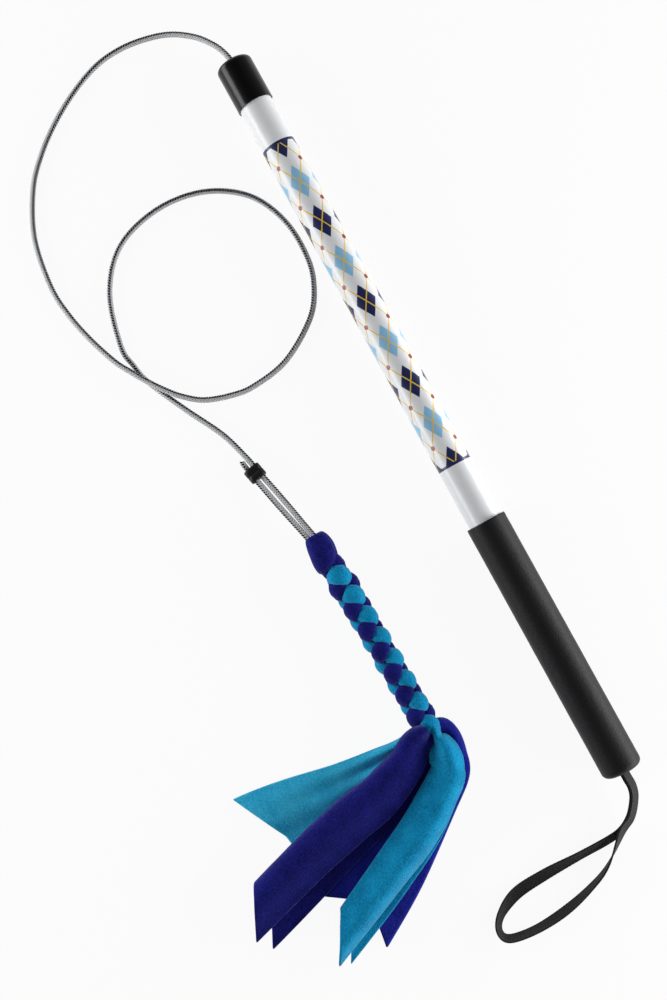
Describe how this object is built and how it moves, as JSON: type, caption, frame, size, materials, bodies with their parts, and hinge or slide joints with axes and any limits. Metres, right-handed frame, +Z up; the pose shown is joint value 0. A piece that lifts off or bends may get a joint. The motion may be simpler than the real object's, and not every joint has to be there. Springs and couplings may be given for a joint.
{
  "type": "dog flirt pole",
  "caption": "Straight plastic pole with a foam grip, wrist strap and slip-on tip cap, and an elastic cord that ends in a loop through a braided fleece lure.",
  "frame": {"origin": "on the pole's axis at the middle of the foam grip", "axes": "+X along the pole to its tip, +Y level towards the cord and the lure, +Z up from the surface that it lies on"},
  "size_m": [0.7517, 0.3114, 0.0316],
  "materials": {
    "white_pvc": "smooth extruded, printed",
    "black_vinyl": "dipped, glossy",
    "black_foam": "fine pebbled foam",
    "grey_plastic": "moulded",
    "black_webbing": "woven",
    "zinc_steel": "zinc plated",
    "cord_sheath": "braided with a dark tracer",
    "black_plastic": "moulded, matte",
    "purple_fleece": "brushed pile",
    "turquoise_fleece": "brushed pile"
  },
  "bodies": {
    "pole": {"pole_tube": "white_pvc", "foam_grip": "black_foam", "butt_plug": "grey_plastic", "strap_anchor": "black_webbing"},
    "cap": {"tip_cap": "black_vinyl"},
    "cord": {"cord_washer": "zinc_steel", "cord_knot": "cord_sheath", "bungee_cord": "cord_sheath", "bungee_loop": "cord_sheath", "loop_clamp": "black_plastic"},
    "lure": {"lure_head": "purple_fleece", "strip_turquoise_left": "turquoise_fleece", "strip_turquoise_right": "turquoise_fleece", "strip_purple_left": "purple_fleece", "strip_purple_right": "purple_fleece"},
    "strap": {"wrist_strap": "black_webbing"}
  },
  "joints": [
    {"name": "cap_pull", "type": "slide", "parent": "pole", "child": "cap", "axis": [1, 0, 0], "range_m": [0, 0.045]},
    {"name": "cord_swivel", "type": "hinge", "parent": "cap", "child": "cord", "pos_m": [0.5097, 0, 0], "axis": [1, 0, 0], "continuous": true},
    {"name": "lure_swing", "type": "hinge", "parent": "cord", "child": "lure", "pos_m": [0.154, 0.1205, -0.00395], "axis": [-0.2164, 0.9763, 0], "range_deg": [0, 30]},
    {"name": "strap_swing", "type": "hinge", "parent": "pole", "child": "strap", "pos_m": [-0.1123, 0, 0], "axis": [0, 0.6428, 0.766], "range_deg": [-10, 95]}
  ]
}
